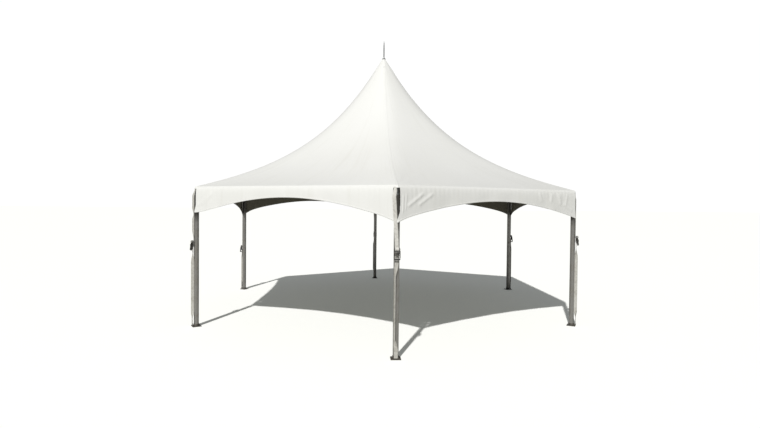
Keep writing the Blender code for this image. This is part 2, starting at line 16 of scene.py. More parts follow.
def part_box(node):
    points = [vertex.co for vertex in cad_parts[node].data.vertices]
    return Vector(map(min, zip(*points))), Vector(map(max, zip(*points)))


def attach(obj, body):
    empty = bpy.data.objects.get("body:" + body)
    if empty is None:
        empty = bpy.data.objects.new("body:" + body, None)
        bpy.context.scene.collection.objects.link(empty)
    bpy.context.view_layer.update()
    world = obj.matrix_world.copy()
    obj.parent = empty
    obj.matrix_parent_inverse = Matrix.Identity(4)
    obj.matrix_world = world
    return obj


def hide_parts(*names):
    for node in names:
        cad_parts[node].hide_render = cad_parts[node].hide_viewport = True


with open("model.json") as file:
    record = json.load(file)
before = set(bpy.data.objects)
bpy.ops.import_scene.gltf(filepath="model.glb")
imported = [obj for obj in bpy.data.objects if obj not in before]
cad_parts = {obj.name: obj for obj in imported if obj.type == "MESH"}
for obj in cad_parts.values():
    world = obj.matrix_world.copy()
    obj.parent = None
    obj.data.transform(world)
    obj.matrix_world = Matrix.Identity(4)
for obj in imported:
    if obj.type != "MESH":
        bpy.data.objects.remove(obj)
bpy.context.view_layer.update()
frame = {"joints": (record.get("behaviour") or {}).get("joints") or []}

BODY = "tent"

# The frame's main sizes, as the solids have them
APOTHEM = 3.048
HALF_SIDE_ANGLE = math.radians(30)
LEG_CIRCLE = APOTHEM / math.cos(HALF_SIDE_ANGLE)
EAVE_HEIGHT = 2.22
PEAK_HEIGHT = 4.83
RISE = PEAK_HEIGHT - EAVE_HEIGHT
BEAM_RADIUS = 0.0254
LEG_RADIUS = (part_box("leg_front")[1].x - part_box("leg_front")[0].x) / 2
LEG_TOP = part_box("leg_front")[1].z
BEAM_HEIGHT = sum(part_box("eave_beam_left"), Vector()).z / 2
EYE_HEIGHT = BEAM_HEIGHT - 0.030

# Corners and sides, clockwise from the front corner as seen from above
CORNERS = ("front", "left_front", "left_back", "back", "right_back", "right_front")
SIDES = ("front_left", "left", "back_left", "back_right", "right", "front_right")
FRONT_AZIMUTH = math.radians(-90)
SECTOR = math.radians(60)

# Directions in a corner's or a side's frame
OUT = Vector((1, 0, 0))
LEVEL = Vector((0, 1, 0))
UP = Vector((0, 0, 1))

# The fabric's thickness, its roll over the eave beams, the hexagon that it makes, and the valances' depths
FABRIC = 0.0012
WRAP = 0.0288
FABRIC_APOTHEM = APOTHEM + WRAP
FABRIC_CORNER = FABRIC_APOTHEM / math.cos(HALF_SIDE_ANGLE)
HALF_SIDE = FABRIC_APOTHEM * math.tan(HALF_SIDE_ANGLE)
WRAP_START = WRAP * math.tan(HALF_SIDE_ANGLE)
VALANCE_CORNER_DROP = 0.44
VALANCE_CROWN_DROP = 0.195

# The roof's sweep and sag, how its hexagon rounds off towards the peak, and its eave
ROOF_SWEEP = 1.78
ROOF_SAG = 0.052
SAG_REACH = (0.05, 0.94)
ROOF_ROUNDING = 0.8
ROUNDING_FADE = 1.5
CORNER_SURPLUS = 0.1547
HIP_SOFTNESS = 0.0012
PEAK_HOLE_RADIUS = 0.026
HEM_DEPTH = 0.024
HEM_SETBACK = 0.0017
FLARE = 0.018
FLARE_FADE = 0.045

# Webbing and ratchets
WEB_WIDTH = 0.050
WEB_THICKNESS = 0.0022
AXLE_X = LEG_RADIUS + 0.0263
BOLT_X = AXLE_X - 0.0035
BOLT_BELOW = 0.076
KEEPER_X = LEG_RADIUS + 0.0198
KEEPER_Z = 0.025
GRIP = Vector((0.020, 0, -0.128))
AXLE_HEIGHTS = {
    joint["name"].removeprefix("handle_hinge_"): joint["pos_m"][2] for joint in frame["joints"]
}


def corner_azimuth(index):
    return FRONT_AZIMUTH - SECTOR * index


def side_azimuth(index):
    return corner_azimuth(index) - SECTOR / 2


def corner_frame(index):
    azimuth = corner_azimuth(index)
    point = (LEG_CIRCLE * math.cos(azimuth), LEG_CIRCLE * math.sin(azimuth), 0)
    return Matrix.Translation(point) @ Matrix.Rotation(azimuth, 4, "Z")


def side_frame(index):
    return Matrix.Rotation(side_azimuth(index), 4, "Z")


def ease(share):
    """A share from 0 to 1 that starts and ends slowly."""
    share = min(max(share, 0), 1)
    return share * share * (3 - 2 * share)


def bell(distance, width):
    return math.exp(-((distance / width) ** 2))


def add_object(name, data):
    added = bpy.data.objects.new(name, data)
    bpy.context.scene.collection.objects.link(added)
    return added


# Camera

CAMERA_OUT = 2.848 * LEG_CIRCLE
CAMERA_HEIGHT = 0.565 * LEG_CIRCLE
CAMERA_ANGLES = (-3.02, 0.27, -1.22, 0.54)
PICTURE_WIDTH = 760
FOCAL_LENGTH = 511.5
SENSOR_WIDTH = 36


def set_camera():
    """A camera at eye height. Its angles are round the tent, then its own yaw, pitch and roll, in degrees."""
    around, yaw, pitch, roll = (math.radians(angle) for angle in CAMERA_ANGLES)
    data = bpy.data.cameras.new("camera")
    data.sensor_width = SENSOR_WIDTH
    data.lens = SENSOR_WIDTH * FOCAL_LENGTH / PICTURE_WIDTH
    camera = add_object("camera", data)
    place = Matrix.Rotation(around, 4, "Z") @ Matrix.Translation((0, -CAMERA_OUT, CAMERA_HEIGHT))
    aim = Matrix.Rotation(math.pi / 2 + pitch, 4, "X") @ Matrix.Rotation(roll, 4, "Z")
    camera.matrix_world = place @ Matrix.Rotation(yaw, 4, "Z") @ aim
    bpy.context.scene.camera = camera


# Values and nodes


class Field:
    """A value that varies over a surface. Arithmetic on it adds Math nodes to its tree."""

    def __init__(self, nodes, socket):
        self.nodes = nodes
        self.socket = socket

    def maths(self, operation, *values):
        return self.nodes.node("ShaderNodeMath", {"operation": operation}, values)

    def __add__(self, other):
        return self.maths("ADD", self, other)

    def __sub__(self, other):
        return self.maths("SUBTRACT", self, other)

    def __mul__(self, other):
        return self.maths("MULTIPLY", self, other)

    def __pow__(self, other):
        return self.maths("POWER", self, other)

    def __radd__(self, other):
        return self.maths("ADD", other, self)

    def __rsub__(self, other):
        return self.maths("SUBTRACT", other, self)

    def __rmul__(self, other):
        return self.maths("MULTIPLY", other, self)

    def sine(self):
        return self.maths("SINE", self)

    def over(self, edge, soft):
        """0 below an edge and 1 above it, with a soft step between them."""
        steps = (self, edge - soft, edge + soft)
        return self.nodes.node("ShaderNodeMapRange", {"interpolation_type": "SMOOTHSTEP"}, steps)


class Nodes:
    """A node tree. One method makes every kind of node in it."""

    def __init__(self, tree):
        self.tree = tree

    def node(self, kind, settings=None, values=(), output=0):
        made = self.tree.nodes.new(kind)
        for name, value in (settings or {}).items():
            setattr(made, name, value)
        pairs = values.items() if isinstance(values, dict) else enumerate(values)
        for name, value in pairs:
            self.feed(made.inputs[name], value)
        return Field(self, made.outputs[output])

    def feed(self, socket, value):
        if isinstance(value, Field):
            self.tree.links.new(value.socket, socket)
        else:
            socket.default_value = value

    def seen_or_felt(self, seen, felt, output):
        """One shader for the camera, and another for the light that falls on the tent."""
        rays = self.node("ShaderNodeLightPath", output="Is Camera Ray")
        both = self.node("ShaderNodeMixShader", None, (rays, felt, seen))
        self.feed(self.tree.nodes[output].inputs["Surface"], both)


class Finish(Nodes):
    """A material in the making: its nodes, and the shader that they feed."""

    def __init__(self, name, colour, roughness, metallic=0.0, **constants):
        self.material = bpy.data.materials.new(name)
        self.material.use_nodes = True
        self.material.diffuse_color = (*colour, 1)
        super().__init__(self.material.node_tree)
        self.shader = self.tree.nodes["Principled BSDF"]
        self.set("Base Color", (*colour, 1))
        self.set("Roughness", roughness)
        self.set("Metallic", metallic)
        for name, value in constants.items():
            self.set(name.replace("_", " ").title().replace("Ior", "IOR"), value)

    def set(self, name, value):
        self.feed(self.shader.inputs[name], value)

    def where(self, stretch=(1, 1, 1)):
        """Object coordinates in metres, stretched."""
        spot = self.node("ShaderNodeTexCoord", output="Object")
        return self.node("ShaderNodeMapping", None, {"Vector": spot, "Scale": stretch})

    def metres(self, stretch=(1, 1, 1)):
        """The piece's own map: metres across and along the cloth or webbing."""
        spot = self.node("ShaderNodeUVMap", {"uv_map": "metres"})
        return self.node("ShaderNodeMapping", None, {"Vector": spot, "Scale": stretch})

    def noise(self, scale, detail, rough=0.55, at=None):
        values = {"Vector": at or self.where(), "Scale": scale, "Detail": detail, "Roughness": rough}
        return self.node("ShaderNodeTexNoise", None, values)

    def blend(self, share, first, second):
        """A colour between two, by the sockets that a mix node has for colours."""
        first = first if isinstance(first, Field) else (*first, 1)
        second = second if isinstance(second, Field) else (*second, 1)
        return self.node("ShaderNodeMix", {"data_type": "RGBA"}, {0: share, 6: first, 7: second}, output=2)

    def split(self, vector):
        return [self.node("ShaderNodeSeparateXYZ", None, (vector,), output=axis) for axis in range(3)]

    def bump(self, height, distance, strength):
        values = {"Height": height, "Distance": distance, "Strength": strength}
        self.set("Normal", self.node("ShaderNodeBump", None, values))

    def made(self, colour, roughness, *relief):
        """The material, given its colour, roughness and relief over the surface."""
        self.set("Base Color", colour)
        self.set("Roughness", roughness)
        if relief:
            self.bump(*relief)
        return self.material


# Light and floor

SUN_STRENGTH = 3.53
SUN_AZIMUTH = math.radians(19)
SUN_ELEVATION = math.radians(45.5)
SUN_SIZE = math.radians(1.2)
SKY_FILL = 0.125
BACKDROP = 1.02
FLOOR_GLOW = 0.142
FLOOR_DROP = -0.001
FLOOR_SIZE = 160


def set_light():
    sun = bpy.data.lights.new("sun", "SUN")
    sun.energy = SUN_STRENGTH
    sun.angle = SUN_SIZE
    sun.color = (1.0, 0.985, 0.955)
    add_object("sun", sun).rotation_euler = (math.pi / 2 - SUN_ELEVATION, 0, -SUN_AZIMUTH)
    world = bpy.data.worlds.new("studio")
    world.use_nodes = True
    nodes = Nodes(world.node_tree)
    backdrop = nodes.node("ShaderNodeBackground", None, ((1, 1, 1, 1), BACKDROP))
    room = nodes.node("ShaderNodeBackground", None, ((0.93, 0.96, 1.0, 1), SKY_FILL))
    nodes.seen_or_felt(backdrop, room, "World Output")
    bpy.context.scene.world = world
    bpy.context.scene.view_settings.view_transform = "Standard"


def set_floor():
    seen = Finish("floor", (0.985, 0.99, 0.98), 0.95, specular_ior_level=0.1, emission_strength=FLOOR_GLOW)
    seen.set("Emission Color", (0.95, 1.0, 0.93, 1))
    felt = seen.node("ShaderNodeBsdfDiffuse", None, {"Color": (0.65, 0.65, 0.62, 1)})
    seen.seen_or_felt(Field(seen, seen.shader.outputs[0]), felt, "Material Output")
    bm = bmesh.new()
    place = Matrix.Translation((0, 0, FLOOR_DROP))
    bmesh.ops.create_grid(bm, x_segments=1, y_segments=1, size=FLOOR_SIZE, matrix=place)
    mesh = bpy.data.meshes.new("floor")
    bm.to_mesh(mesh)
    bm.free()
    mesh.materials.append(seen.material)
    add_object("floor", mesh)


# The tent's finishes

WEAVE_PHASE = 2800
RIB_PHASE = math.tau / 0.0034
PICK_PHASE = math.tau / 0.0026
# Above this height a leg's top is painted darker: painted shade under the canopy's corners
PAINTED_SHADE_ABOVE = 1.76
# How dark the corner fittings' copy of the zinc is: painted shade under the fabric's corners
FITTING_PAINTED_SHADE = 0.3


def cloth_relief(finish):
    """Height of the coated cloth's fine weave, and of its crumples."""
    across, along, _ = finish.split(finish.metres())
    weave = (across * WEAVE_PHASE).sine() * (along * WEAVE_PHASE).sine()
    return weave * 0.02 + finish.noise(6.0, 6.0, 0.6, at=finish.metres())


def outer_vinyl():
    clean = (0.80, 0.807, 0.795)
    finish = Finish("white_vinyl", clean, 0.42, specular_ior_level=0.4)
    broad = finish.noise(0.7, 4.0)
    streaks = finish.noise(1.0, 5.0, at=finish.metres((9.0, 0.5, 1)))
    specks = finish.noise(55.0, 3.0, at=finish.metres())
    aged = finish.blend(broad.over(0.55, 0.25), clean, (0.772, 0.778, 0.76))
    grime = streaks.over(0.62, 0.1) * 0.16 + specks.over(0.68, 0.05) * 0.10
    surface = finish.blend(grime, aged, (0.62, 0.61, 0.56))
    return finish.made(surface, 0.38 + broad * 0.12, cloth_relief(finish), 0.004, 0.35)


def inner_vinyl():
    # The inner face is dark partly as its own lining and partly as painted shade for the canopy's shaded
    # underside
    finish = Finish("dark_inner_vinyl", (0.16, 0.15, 0.115), 0.6, specular_ior_level=0.3)
    surface = finish.blend(finish.noise(2.0, 4.0), (0.14, 0.132, 0.10), (0.19, 0.18, 0.145))
    return finish.made(surface, 0.6, cloth_relief(finish), 0.004, 0.3)


def mill_aluminium(name="mill_aluminium", painted_shade_above=None):
    """Drawn tube. Above a given height, a leg's top under the fabric is painted darker, as painted shade."""
    finish = Finish(name, (0.34, 0.335, 0.32), 0.36, 0.75)
    drawn = finish.noise(3.0, 5.0, at=finish.where((60, 60, 1.2)))
    blotches = finish.noise(7.0, 5.0, 0.65)
    scuffs = finish.noise(4.0, 4.0, 0.7, at=finish.where((8, 8, 30)))
    worn = finish.blend(drawn, (0.30, 0.295, 0.28), (0.38, 0.375, 0.36))
    stained = finish.blend(blotches.over(0.58, 0.12) * 0.5, worn, (0.26, 0.24, 0.20))
    surface = finish.blend(scuffs.over(0.66, 0.04) * 0.5, stained, (0.52, 0.52, 0.51))
    if painted_shade_above:
        # Painted shade: the leg is painted darker above the height, where the canopy shades it
        _, _, height = finish.split(finish.where())
        painted_shade = (height + blotches * 0.1).over(painted_shade_above, 0.1) * 0.85
        surface = finish.blend(painted_shade, surface, (0.055, 0.052, 0.045))
    roughness = 0.30 + drawn * 0.12 + blotches.over(0.58, 0.1) * 0.14
    return finish.made(surface, roughness, drawn + scuffs * 0.4, 0.0004, 0.5)


def galvanised_steel(name="galvanised_steel", shade=1.0):
    """Zinc with its spangle. A shade below 1 makes a darker copy: painted shade, for the fittings under the
    fabric's corners.
    """
    mean, dim, bright, dirt = (
        tuple(share * shade for share in colour)
        for colour in ((0.45, 0.46, 0.46), (0.40, 0.41, 0.415), (0.52, 0.53, 0.535), (0.30, 0.295, 0.28))
    )
    finish = Finish(name, mean, 0.5, 0.9)
    spangle = finish.node(
        "ShaderNodeTexVoronoi", None, {"Vector": finish.where(), "Scale": 95.0}, output="Color"
    )
    spot, _, _ = finish.split(spangle)
    dull = finish.noise(14.0, 5.0)
    grain = finish.blend(spot * 0.6, dim, bright)
    surface = finish.blend(dull.over(0.6, 0.1) * 0.6, grain, dirt)
    return finish.made(surface, 0.40 + spot * 0.12 + dull * 0.1, dull + spot * 0.1, 0.0006, 0.4)


def dark_steel():
    finish = Finish("dark_painted_steel", (0.10, 0.095, 0.085), 0.5)
    chips = finish.noise(60.0, 6.0, 0.7)
    dust = finish.noise(11.0, 4.0)
    paint = finish.blend(dust, (0.045, 0.042, 0.036), (0.12, 0.11, 0.095))
    bare = chips.over(0.66, 0.02)
    surface = finish.blend(bare, paint, (0.28, 0.20, 0.14))
    return finish.made(surface, 0.45 + dust * 0.2 + bare * 0.15, chips * 0.4 + dust, 0.0008, 0.4)


def ratchet_steel():
    finish = Finish("dark_ratchet_steel", (0.12, 0.115, 0.105), 0.42, 0.75)
    rub = finish.noise(40.0, 6.0, 0.65)
    bloom = finish.noise(9.0, 3.0)
    plated = finish.blend(bloom, (0.05, 0.048, 0.044), (0.11, 0.106, 0.096))
    surface = finish.blend(rub.over(0.63, 0.05), plated, (0.30, 0.29, 0.27))
    return finish.made(surface, 0.36 + rub * 0.2, rub, 0.0005, 0.35)


def black_rubber():
    finish = Finish("black_grip", (0.025, 0.025, 0.026), 0.6)
    dust = finish.noise(70.0, 5.0, 0.6)
    settled = dust.over(0.55, 0.15) * 0.6
    surface = finish.blend(settled, (0.02, 0.02, 0.021), (0.07, 0.068, 0.062))
    return finish.made(surface, 0.5 + dust * 0.25, dust, 0.0006, 0.5)


def wire_rope():
    """Strands that wind round each radial cable: their phase runs with the distance from the mast."""
    finish = Finish("wire_rope", (0.34, 0.34, 0.335), 0.45, 0.9)
    x, y, z = finish.split(finish.where())
    out = (x * x + y * y) ** 0.5
    strand = (out * 780 + z * 1100).sine() * 0.5 + 0.5
    dull = finish.noise(30.0, 4.0)
    bright = finish.blend(dull, (0.30, 0.30, 0.295), (0.44, 0.44, 0.43))
    surface = finish.blend(strand, (0.15, 0.15, 0.145), bright)
    return finish.made(surface, 0.36 + strand * 0.15, strand, 0.0010, 0.8)


def webbing_cloth(name, light, deep):
    finish = Finish(name, light, 0.8)
    across, along, _ = finish.split(finish.metres())
    ribs = (across * RIB_PHASE).sine() * 0.5 + 0.5
    picks = (along * PICK_PHASE).sine() * 0.5 + 0.5
    worn = finish.noise(26.0, 5.0, at=finish.metres())
    soiled = finish.noise(1.0, 4.0, at=finish.metres((2, 5, 1)))
    threads = ribs * 0.55 + picks * 0.45
    cloth = finish.blend(threads, deep, light)
    dirt = worn.over(0.57, 0.15) * 0.30 + soiled.over(0.55, 0.2) * 0.35
    surface = finish.blend(dirt, cloth, (0.20, 0.185, 0.15))
    return finish.made(surface, 0.72 + worn * 0.15, threads + worn * 0.3, 0.0008, 0.7)


def thread():
    finish = Finish("white_thread", (0.62, 0.62, 0.59), 0.7)
    twist = finish.noise(900.0, 2.0)
    surface = finish.blend(twist, (0.48, 0.48, 0.45), (0.70, 0.70, 0.67))
    return finish.made(surface, 0.6 + twist * 0.2)


# Making pieces

SHARP_ANGLE = math.radians(40)
STITCH_SIZE = (0.005, 0.0011, 0.0006)


def finish_piece(name, bm, materials, body=BODY, sharp=SHARP_ANGLE):
    """A piece of the tent from a bmesh: shaded smooth, given its materials, and riding on a body."""
    mesh = bpy.data.meshes.new(name)
    bm.to_mesh(mesh)
    bm.free()
    mesh.shade_smooth()
    if sharp:
        mesh.set_sharp_from_angle(angle=sharp)
    for material in materials:
        mesh.materials.append(material)
    piece = add_object(name, mesh)
    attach(piece, body)
    return piece


def cloth(columns, rows, place, span):
    """A grid with a map in metres. Its point at shares (u, v) of its width and length lies at place(u, v)."""
    bm = bmesh.new()
    bmesh.ops.create_grid(bm, x_segments=columns, y_segments=rows, size=0.5)
    metres = bm.loops.layers.uv.new("metres")
    for face in bm.faces:
        for loop in face.loops:
            loop[metres].uv = ((loop.vert.co.x + 0.5) * span[0], (loop.vert.co.y + 0.5) * span[1])
    for vert in bm.verts:
        vert.co = place(vert.co.x + 0.5, vert.co.y + 0.5)
    return bm


def cloth_piece(name, bm, materials, thickness, offset=-1):
    """A piece of thickened cloth, with the last of its materials on its inner face."""
    piece = finish_piece(name, bm, materials, sharp=None)
    wall = piece.modifiers.new("thickness", "SOLIDIFY")
    wall.thickness = thickness
    wall.offset = offset
    wall.material_offset = len(materials) - 1
    return piece


def edges_of(verts):
    return list({edge for vert in verts for edge in vert.link_edges})


def bevel_edges(bm, edges, size):
    bmesh.ops.bevel(bm, geom=edges, offset=size, segments=2, profile=0.5, affect="EDGES", material=-1)


def bar(bm, start, end, radius, segments=16, bevel=0.0, at=(0, 0, 0)):
    """A round or many-sided bar between two points, which are given from a third."""
    start, end = Vector(at) + Vector(start), Vector(at) + Vector(end)
    turn = (end - start).to_track_quat("Z", "Y").to_matrix().to_4x4()
    made = bmesh.ops.create_cone(
        bm,
        cap_ends=True,
        segments=segments,
        radius1=radius,
        radius2=radius,
        depth=(end - start).length,
        matrix=Matrix.Translation((start + end) / 2) @ turn,
    )["verts"]
    if bevel:
        rims = [edge for edge in edges_of(made) if any(len(face.verts) > 4 for face in edge.link_faces)]
        bevel_edges(bm, rims, bevel)


def block(bm, first, last, bevel, at=(0, 0, 0)):
    """A block between two opposite corners, which are given from a point."""
    first, last = Vector(at) + Vector(first), Vector(at) + Vector(last)
    size = [abs(length) for length in last - first]
    place = Matrix.Translation((first + last) / 2) @ Matrix.Diagonal((*size, 1))
    made = bmesh.ops.create_cube(bm, size=1, matrix=place)["verts"]
    bevel_edges(bm, edges_of(made), bevel)


def plate(bm, outline, low_y, high_y):
    """A flat plate from an outline of (x, z) points, between two values of y."""
    face = bm.faces.new([bm.verts.new((x, low_y, z)) for x, z in outline])
    grown = bmesh.ops.extrude_face_region(bm, geom=[face], use_keep_orig=True)["geom"]
    moved = [item for item in grown if isinstance(item, bmesh.types.BMVert)]
    bmesh.ops.translate(bm, verts=moved, vec=(0, high_y - low_y, 0))


def spin(bm, outline, centre, axis, steps):
    """A closed ring, turned about an axis from the points and edges of its section."""
    bmesh.ops.spin(
        bm,
        geom=outline,
        cent=centre,
        axis=axis,
        angle=math.tau,
        steps=steps,
        use_merge=True,
        use_duplicate=False,
    )


def ring(bm, centre, axis, radius, wire, steps=20, segments=8, at=(0, 0, 0)):
    """A round wire bent into a ring about an axis. Its centre is given from a point."""
    centre, axis = Vector(at) + Vector(centre), axis.normalized()
    side = axis.orthogonal().normalized()
    place = Matrix((side, axis, side.cross(axis))).transposed().to_4x4()
    place.translation = centre + side * radius
    made = bmesh.ops.create_circle(bm, segments=segments, radius=wire, matrix=place)["verts"]
    spin(bm, made + edges_of(made), centre, axis, steps)


def lathe(bm, profile, steps):
    """A ring turned about Z from a closed profile of (radius, height) points."""
    verts = [bm.verts.new((radius, 0, height)) for radius, height in profile]
    edges = [bm.edges.new(pair) for pair in zip(verts, verts[1:] + verts[:1])]
    spin(bm, verts + edges, (0, 0, 0), UP, steps)


def stitch(bm, at, along, out):
    """One stitch, lying on a face that looks out."""
    along = along.normalized()
    across = out.cross(along).normalized()
    place = Matrix((along, across, out.normalized())).transposed().to_4x4()
    place.translation = at
    bmesh.ops.create_cube(bm, size=1, matrix=place @ Matrix.Diagonal((*STITCH_SIZE, 1)))


def add_corner_piece(stem, bm, index, finish, part="leg"):
    """A corner's piece from a bmesh and a finish, whose slot is not used. A leg's piece is built in the
    corner's frame, and a ratchet's or a handle's from the middle of the ratchet's axle."""
    corner = CORNERS[index]
    place = corner_frame(index)
    if part != "leg":
        place @= Matrix.Translation((AXLE_X, 0, AXLE_HEIGHTS[corner]))
    bmesh.ops.recalc_face_normals(bm, faces=bm.faces)
    bmesh.ops.transform(bm, matrix=place, verts=bm.verts)
    body = f"handle_{corner}" if part == "handle" else BODY
    material, slot = finish
    finish_piece(f"{stem}_{corner}", bm, [material], body)


def at_each_corner(build, finish, part="leg"):
    """The same piece at each corner, named after the function that builds it."""
    for index in range(6):
        bm = bmesh.new()
        build(bm)
        add_corner_piece(build.__name__, bm, index, finish, part)


# Canopy


def roof_height(share):
    end = math.exp(-ROOF_SWEEP)
    sweep = RISE * (math.exp(-ROOF_SWEEP * share) - end) / (1 - end)
    down = min(max((share - SAG_REACH[0]) / (SAG_REACH[1] - SAG_REACH[0]), 0), 1)
    return EAVE_HEIGHT + sweep - ROOF_SAG * max(math.sin(math.pi * down**0.6), 0) ** 1.3


def roof_fullness(share):
    return ROOF_ROUNDING * (1 - share) ** ROUNDING_FADE


def soft_hexagon(angle, fullness):
    """Radius at an angle from a side's middle, for an apothem of 1: a hexagon, rounder as fullness grows."""
    power = math.log(2) / math.log((1 + CORNER_SURPLUS * fullness) * (1 + HIP_SOFTNESS))
    facings = [math.cos(angle - turn * SECTOR) for turn in (-1, 0, 1)]
    return sum(facing**power for facing in facings if facing > 0) ** (-1 / power)


EAVE_TILT = math.atan((roof_height(0.9999) - roof_height(1)) / (0.0001 * FABRIC_APOTHEM))
ROLL_START = (FABRIC_APOTHEM - WRAP + WRAP * math.sin(EAVE_TILT)) / FABRIC_APOTHEM
ROLL_CENTRE = EAVE_HEIGHT + math.tan(EAVE_TILT) * WRAP - WRAP / math.cos(EAVE_TILT)
ROLL_END = math.pi / 2 - math.atan(FLARE / FLARE_FADE)
ROLL_FOOT = ROLL_CENTRE + WRAP * math.cos(ROLL_END)
ROLL_REACH = WRAP * math.sin(ROLL_END)

# Where the cloth's rows leave the roof for the roll over the eave beam, and the roll for the hem below it, and
# how the rows on the roof spread towards the eave
ROOF_SHARE = 0.90
ROLL_SHARE = 0.97
ROW_SPREAD = 1.25
CANOPY_COLUMNS = 56
CANOPY_ROWS = 84

# Heights of the folds at its corners and round its peak, how many those are, and how far it drifts
CORNER_FOLD = 0.004
PEAK_FOLD = 0.003
PEAK_FOLDS = 18
DRIFT = 0.006

# Its map's size in metres, round the tent and down the slope
CANOPY_SPAN = (6 * 3.5, 4.6)


def fabric_reach(below):
    """How far out from the beam's middle the fabric hangs, so far below the end of its roll over the beam."""
    return ROLL_REACH + FLARE * (1 - math.exp(-max(below, 0) / FLARE_FADE))


def roof_section(v):
    """Share of the way out, apothem and height of the canopy's outer face, at v from peak to hem."""
    if v <= ROOF_SHARE:
        first = PEAK_HOLE_RADIUS / FABRIC_CORNER
        share = first + (ROLL_START - first) * (v / ROOF_SHARE) ** ROW_SPREAD
        apothem = FABRIC_APOTHEM * share * (1 + CORNER_SURPLUS * roof_fullness(share))
        return share, apothem, roof_height(share)
    if v <= ROLL_SHARE:
        turn = EAVE_TILT + (ROLL_END - EAVE_TILT) * (v - ROOF_SHARE) / (ROLL_SHARE - ROOF_SHARE)
        return 1, FABRIC_APOTHEM - WRAP + WRAP * math.sin(turn), ROLL_CENTRE + WRAP * math.cos(turn)
    below = HEM_DEPTH * (v - ROLL_SHARE) / (1 - ROLL_SHARE)
    return 1, FABRIC_APOTHEM - WRAP + fabric_reach(below), ROLL_FOOT - below


def canopy_point(u, v):
    """A point of the roof's outer face: u goes clockwise round from the front corner, v from peak to hem."""
    side = math.floor(u * 6 + 1e-9)
    level = math.sin(math.pi * (u * 6 - side - 0.5))
    offset = -math.atan(level * math.tan(HALF_SIDE_ANGLE))
    share, apothem, height = roof_section(v)
    angle = side_azimuth(side) + offset
    from_hip = HALF_SIDE * (1 - abs(level))
    if v > ROLL_SHARE:
        apothem -= HEM_SETBACK * ease((from_hip - 0.02) / 0.03) * ease((v - ROLL_SHARE) / 0.004)
    radius = apothem * soft_hexagon(offset, roof_fullness(share))
    if share == 1:
        return Vector((radius * math.cos(angle), radius * math.sin(angle), height))
    across, up = from_hip * share, (1 - share) * FABRIC_CORNER
    bearing = math.atan2(up, across + 1e-6)
    nearness = bell(math.hypot(across, up) - 0.25, 0.25)
    corner_fold = CORNER_FOLD * math.sin(bearing * 13 + side * 1.7) * nearness
    peak_fold = PEAK_FOLD * math.sin(u * math.tau * PEAK_FOLDS) * math.exp(-share * 14) * min(share * 40, 1)
    spot = Vector((math.cos(angle) * radius, math.sin(angle) * radius, height))
    drift = noise.noise(spot * 1.3) * DRIFT * ease(from_hip * share * 3)
    lift = corner_fold * ease(up * 5) * ease(across * 8) + peak_fold + drift * ease(up * 3)
    return spot + Vector((0, 0, lift))


def over_cloth(point, u, v, lift):
    """A point a little outside a cloth's outer face, from the function that gives the cloth."""
    at = point(u, v)
    across = point(u + 1e-4, v) - point(u - 1e-4, v)
    down = point(u, min(v + 1e-3, 1)) - point(u, v - 1e-3)
    out = across.cross(down).normalized()
    return at + out * lift * (1 if out.dot(at) > 0 else -1)


def make_canopy(outer, inner):
    """The roof as one cloth, with its seam in the front hip and its hole round the mast's head."""
    bm = cloth(6 * CANOPY_COLUMNS, CANOPY_ROWS, canopy_point, CANOPY_SPAN)
    bmesh.ops.remove_doubles(bm, verts=bm.verts, dist=1e-5)
    piece = cloth_piece("canopy_roof", bm, [outer, inner], FABRIC)
    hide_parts(*[f"roof_panel_{side}" for side in SIDES])
    return piece


HIP_STRIP = 0.040
STRIP_LIFT = 0.0008
STRIP_SHARES = (0.06, 0.96)


def hip_strip_point(index, across, v):
    """A point of the strip welded over a hip, with across from -1 to 1."""
    share = roof_section(v)[0]
    reach = min(abs(across) * HIP_STRIP / 2, 0.35 * HALF_SIDE * share)
    turn = 0.5 - math.asin(1 - reach / (HALF_SIDE * share)) / math.pi
    u = (index + math.copysign(turn, across)) / 6
    return over_cloth(canopy_point, u, v, STRIP_LIFT)


def make_roof_strips(outer):
    """The strips welded over the hips."""
    first, last = STRIP_SHARES
    pieces = []
    for index, corner in enumerate(CORNERS):

        def point(u, v, index=index):
            return hip_strip_point(index, 2 * u - 1, first + (last - first) * v)

        bm = cloth(8, 90, point, (HIP_STRIP, 4.4))
        pieces.append(cloth_piece(f"hip_strip_{corner}", bm, [outer], STRIP_LIFT))
    return pieces


# Valances

VALANCE_TOP = ROLL_FOOT - 0.001
SKIRT_COLUMNS = 240
HEM_WIDTH = 0.022
HEM_CLOTH = 0.0006
STITCH_SPACING = 0.008

# How far a valance's tip stands out and hangs below the corner's drop, how much higher a crown is than usual,
# and how wide a tip is
TIP_BULGE = 0.0175
TIP_DROP = {"front": 0.040, "left_front": -0.030, "left_back": 0.115, "right_back": 0.075}
USUAL_TIP_DROP = 0.020
HIGHER_CROWN = {"front_left": 0.030}
TIP_WIDTH = 0.13

# A valance's broad waves, and the puckers under its top edge
WAVE_DEPTH = 0.003
PUCKER_DEPTH = 0.0022
PUCKER_PHASE = 78

# Where a valance's edge lies at its top and at its tip, in metres from the corner's edge, and how far down it
# starts to go from one to the other
SLOT_EDGE = {
    ("front_left", "front"): (0.054, 0.030),
    ("front_right", "front"): (0.036, -0.012),
    ("front_right", "right_front"): (0.022, 0.010),
    ("right", "right_front"): (0.022, 0.010),
    ("left", "left_back"): (0.022, 0.010),
    ("back_left", "left_back"): (0.022, 0.010),
}
USUAL_SLOT_EDGE = (0.048, 0.015)
SLOT_TURN = 0.66

